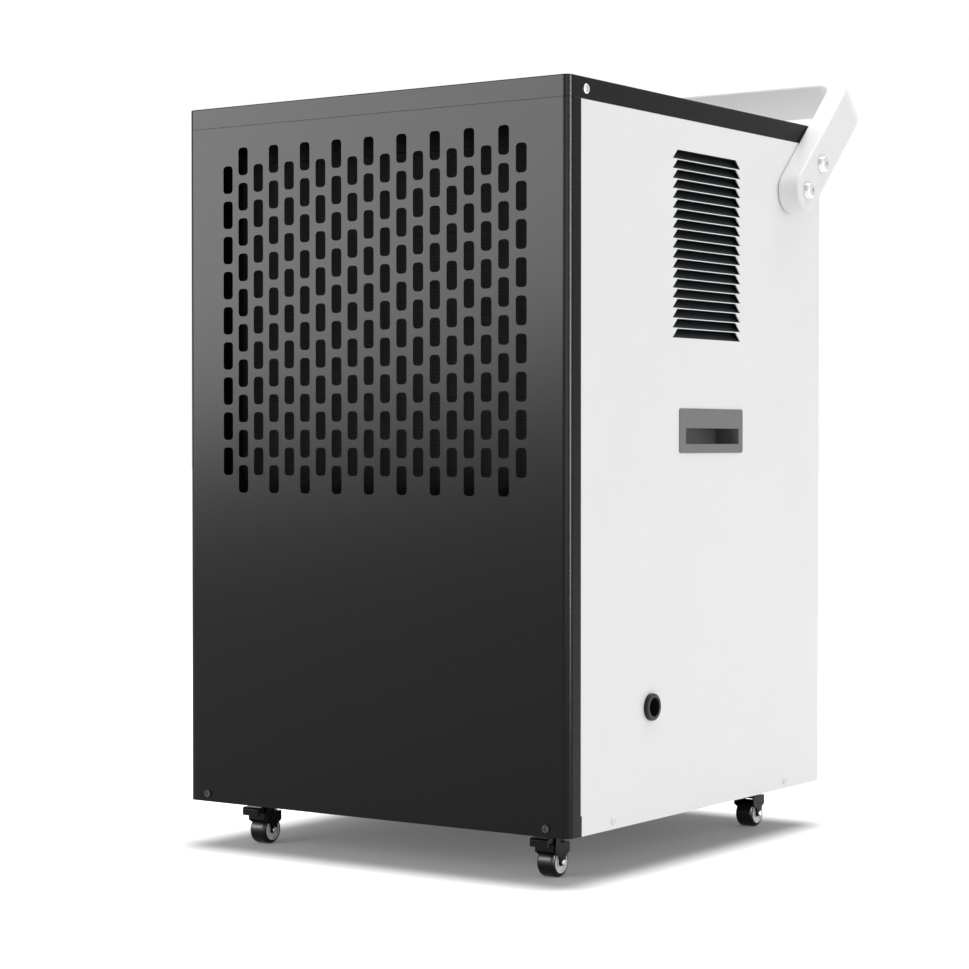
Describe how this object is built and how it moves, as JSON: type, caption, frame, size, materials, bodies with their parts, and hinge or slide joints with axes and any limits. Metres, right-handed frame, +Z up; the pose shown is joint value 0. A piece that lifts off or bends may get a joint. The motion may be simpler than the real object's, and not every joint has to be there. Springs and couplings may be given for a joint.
{
  "type": "commercial dehumidifier",
  "caption": "Upright commercial dehumidifier: slotted front intake, louvred sides, recessed side grips, rear push handle, lid controls and swivel casters with brakes.",
  "frame": {"origin": "on the floor under the middle of the whole machine's bounding box", "axes": "+Z up, +X to the machine's left-to-right as seen from its front (the drain side is +X), +Y from the slotted front towards the back with the push handle"},
  "size_m": [0.593, 0.6452, 0.9258],
  "materials": {
    "white_panels": "satin powder coat",
    "charcoal_panels": "satin powder coat",
    "white_handle": "satin",
    "grey_plastic": "satin",
    "dark_fitting": "satin",
    "black_plastic": "satin",
    "filter_net": "fine woven nylon",
    "button_plastic": "gloss",
    "display": "gloss",
    "board": "satin",
    "bright_bolts": "polished",
    "white_screws": "satin",
    "dark_screws": "satin",
    "zinc_sheet": "zinc plated",
    "coil_fins": "satin",
    "fan_plastic": "satin",
    "motor_steel": "satin",
    "compressor_paint": "semi gloss",
    "rubber_parts": "matte",
    "copper_tube": "satin",
    "black_fork": "gloss",
    "axle_steel": "polished",
    "wheel_hub": "satin",
    "wheel_tyre": "satin"
  },
  "bodies": {
    "cabinet": {"base_pan": "zinc_sheet", "front_panel": "charcoal_panels", "top_cover": "charcoal_panels", "right_side_panel": "white_panels", "left_side_panel": "white_panels", "back_panel": "white_panels", "left_louver_grille": "black_plastic", "right_louver_grille": "black_plastic", "left_grip": "grey_plastic", "right_grip": "grey_plastic", "drain_outlet": "dark_fitting", "cable_gland": "black_plastic", "push_handle": "white_handle", "handle_bolts": "bright_bolts", "front_screws": "dark_screws", "panel_screws": "white_screws", "machine_screws": "bright_bolts", "caster_plates": "zinc_sheet", "control_bezel": "black_plastic", "display_window": "display", "control_board": "board", "filter_rails": "black_plastic", "mid_shelf": "zinc_sheet", "drip_tray": "black_plastic", "drain_hose": "rubber_parts", "evaporator": "coil_fins", "condenser": "coil_fins", "fan_bulkhead": "zinc_sheet", "fan_motor": "motor_steel", "motor_bracket": "zinc_sheet", "compressor": "compressor_paint", "compressor_mounts": "rubber_parts", "refrigerant_pipes": "copper_tube", "electrical_box": "black_plastic"},
    "front_left_caster": {"front_left_caster_fork": "black_fork", "front_left_caster_axle": "axle_steel"},
    "front_left_wheel": {"front_left_wheel_hub": "wheel_hub", "front_left_wheel_tyre": "wheel_tyre"},
    "front_left_pedal": {"front_left_brake_pedal": "black_fork"},
    "front_right_caster": {"front_right_caster_fork": "black_fork", "front_right_caster_axle": "axle_steel"},
    "front_right_wheel": {"front_right_wheel_hub": "wheel_hub", "front_right_wheel_tyre": "wheel_tyre"},
    "front_right_pedal": {"front_right_brake_pedal": "black_fork"},
    "back_left_caster": {"back_left_caster_fork": "black_fork", "back_left_caster_axle": "axle_steel"},
    "back_left_wheel": {"back_left_wheel_hub": "wheel_hub", "back_left_wheel_tyre": "wheel_tyre"},
    "back_right_caster": {"back_right_caster_fork": "black_fork", "back_right_caster_axle": "axle_steel"},
    "back_right_wheel": {"back_right_wheel_hub": "wheel_hub", "back_right_wheel_tyre": "wheel_tyre"},
    "fan": {"fan_rotor": "fan_plastic"},
    "filter": {"filter_frame": "black_plastic", "filter_mesh": "filter_net"},
    "power_key": {"power_button": "button_plastic"},
    "mode_key": {"mode_button": "button_plastic"},
    "timer_key": {"timer_button": "button_plastic"},
    "down_key": {"down_button": "button_plastic"},
    "up_key": {"up_button": "button_plastic"}
  },
  "joints": [
    {"name": "front_left_swivel", "type": "hinge", "parent": "cabinet", "child": "front_left_caster", "pos_m": [-0.201, -0.25207, 0.0533], "axis": [0, 0, 1], "continuous": true},
    {"name": "front_left_wheel_spin", "type": "hinge", "parent": "front_left_caster", "child": "front_left_wheel", "pos_m": [-0.201, -0.25707, 0.0163], "axis": [1, 0, 0], "continuous": true},
    {"name": "front_left_brake", "type": "hinge", "parent": "front_left_caster", "child": "front_left_pedal", "pos_m": [-0.201, -0.26707, 0.0406], "axis": [1, 0, 0], "range_deg": [0, 10]},
    {"name": "front_right_swivel", "type": "hinge", "parent": "cabinet", "child": "front_right_caster", "pos_m": [0.201, -0.25207, 0.0533], "axis": [0, 0, 1], "continuous": true},
    {"name": "front_right_wheel_spin", "type": "hinge", "parent": "front_right_caster", "child": "front_right_wheel", "pos_m": [0.201, -0.25707, 0.0163], "axis": [1, 0, 0], "continuous": true},
    {"name": "front_right_brake", "type": "hinge", "parent": "front_right_caster", "child": "front_right_pedal", "pos_m": [0.201, -0.26707, 0.0406], "axis": [1, 0, 0], "range_deg": [0, 10]},
    {"name": "back_left_swivel", "type": "hinge", "parent": "cabinet", "child": "back_left_caster", "pos_m": [-0.201, 0.18693, 0.0533], "axis": [0, 0, 1], "continuous": true},
    {"name": "back_left_wheel_spin", "type": "hinge", "parent": "back_left_caster", "child": "back_left_wheel", "pos_m": [-0.201, 0.18193, 0.0163], "axis": [1, 0, 0], "continuous": true},
    {"name": "back_right_swivel", "type": "hinge", "parent": "cabinet", "child": "back_right_caster", "pos_m": [0.201, 0.18693, 0.0533], "axis": [0, 0, 1], "continuous": true},
    {"name": "back_right_wheel_spin", "type": "hinge", "parent": "back_right_caster", "child": "back_right_wheel", "pos_m": [0.201, 0.18193, 0.0163], "axis": [1, 0, 0], "continuous": true},
    {"name": "fan_spin", "type": "hinge", "parent": "cabinet", "child": "fan", "pos_m": [0, -0.12377, 0.6033], "axis": [0, 1, 0], "continuous": true},
    {"name": "filter_slide", "type": "slide", "parent": "cabinet", "child": "filter", "axis": [-1, 0, 0], "range_m": [0, 0.45]},
    {"name": "power_press", "type": "slide", "parent": "cabinet", "child": "power_key", "axis": [0, 0, -1], "range_m": [0, 0.001], "stiffness_N_per_m": 400},
    {"name": "mode_press", "type": "slide", "parent": "cabinet", "child": "mode_key", "axis": [0, 0, -1], "range_m": [0, 0.001], "stiffness_N_per_m": 400},
    {"name": "timer_press", "type": "slide", "parent": "cabinet", "child": "timer_key", "axis": [0, 0, -1], "range_m": [0, 0.001], "stiffness_N_per_m": 400},
    {"name": "down_press", "type": "slide", "parent": "cabinet", "child": "down_key", "axis": [0, 0, -1], "range_m": [0, 0.001], "stiffness_N_per_m": 400},
    {"name": "up_press", "type": "slide", "parent": "cabinet", "child": "up_key", "axis": [0, 0, -1], "range_m": [0, 0.001], "stiffness_N_per_m": 400}
  ]
}
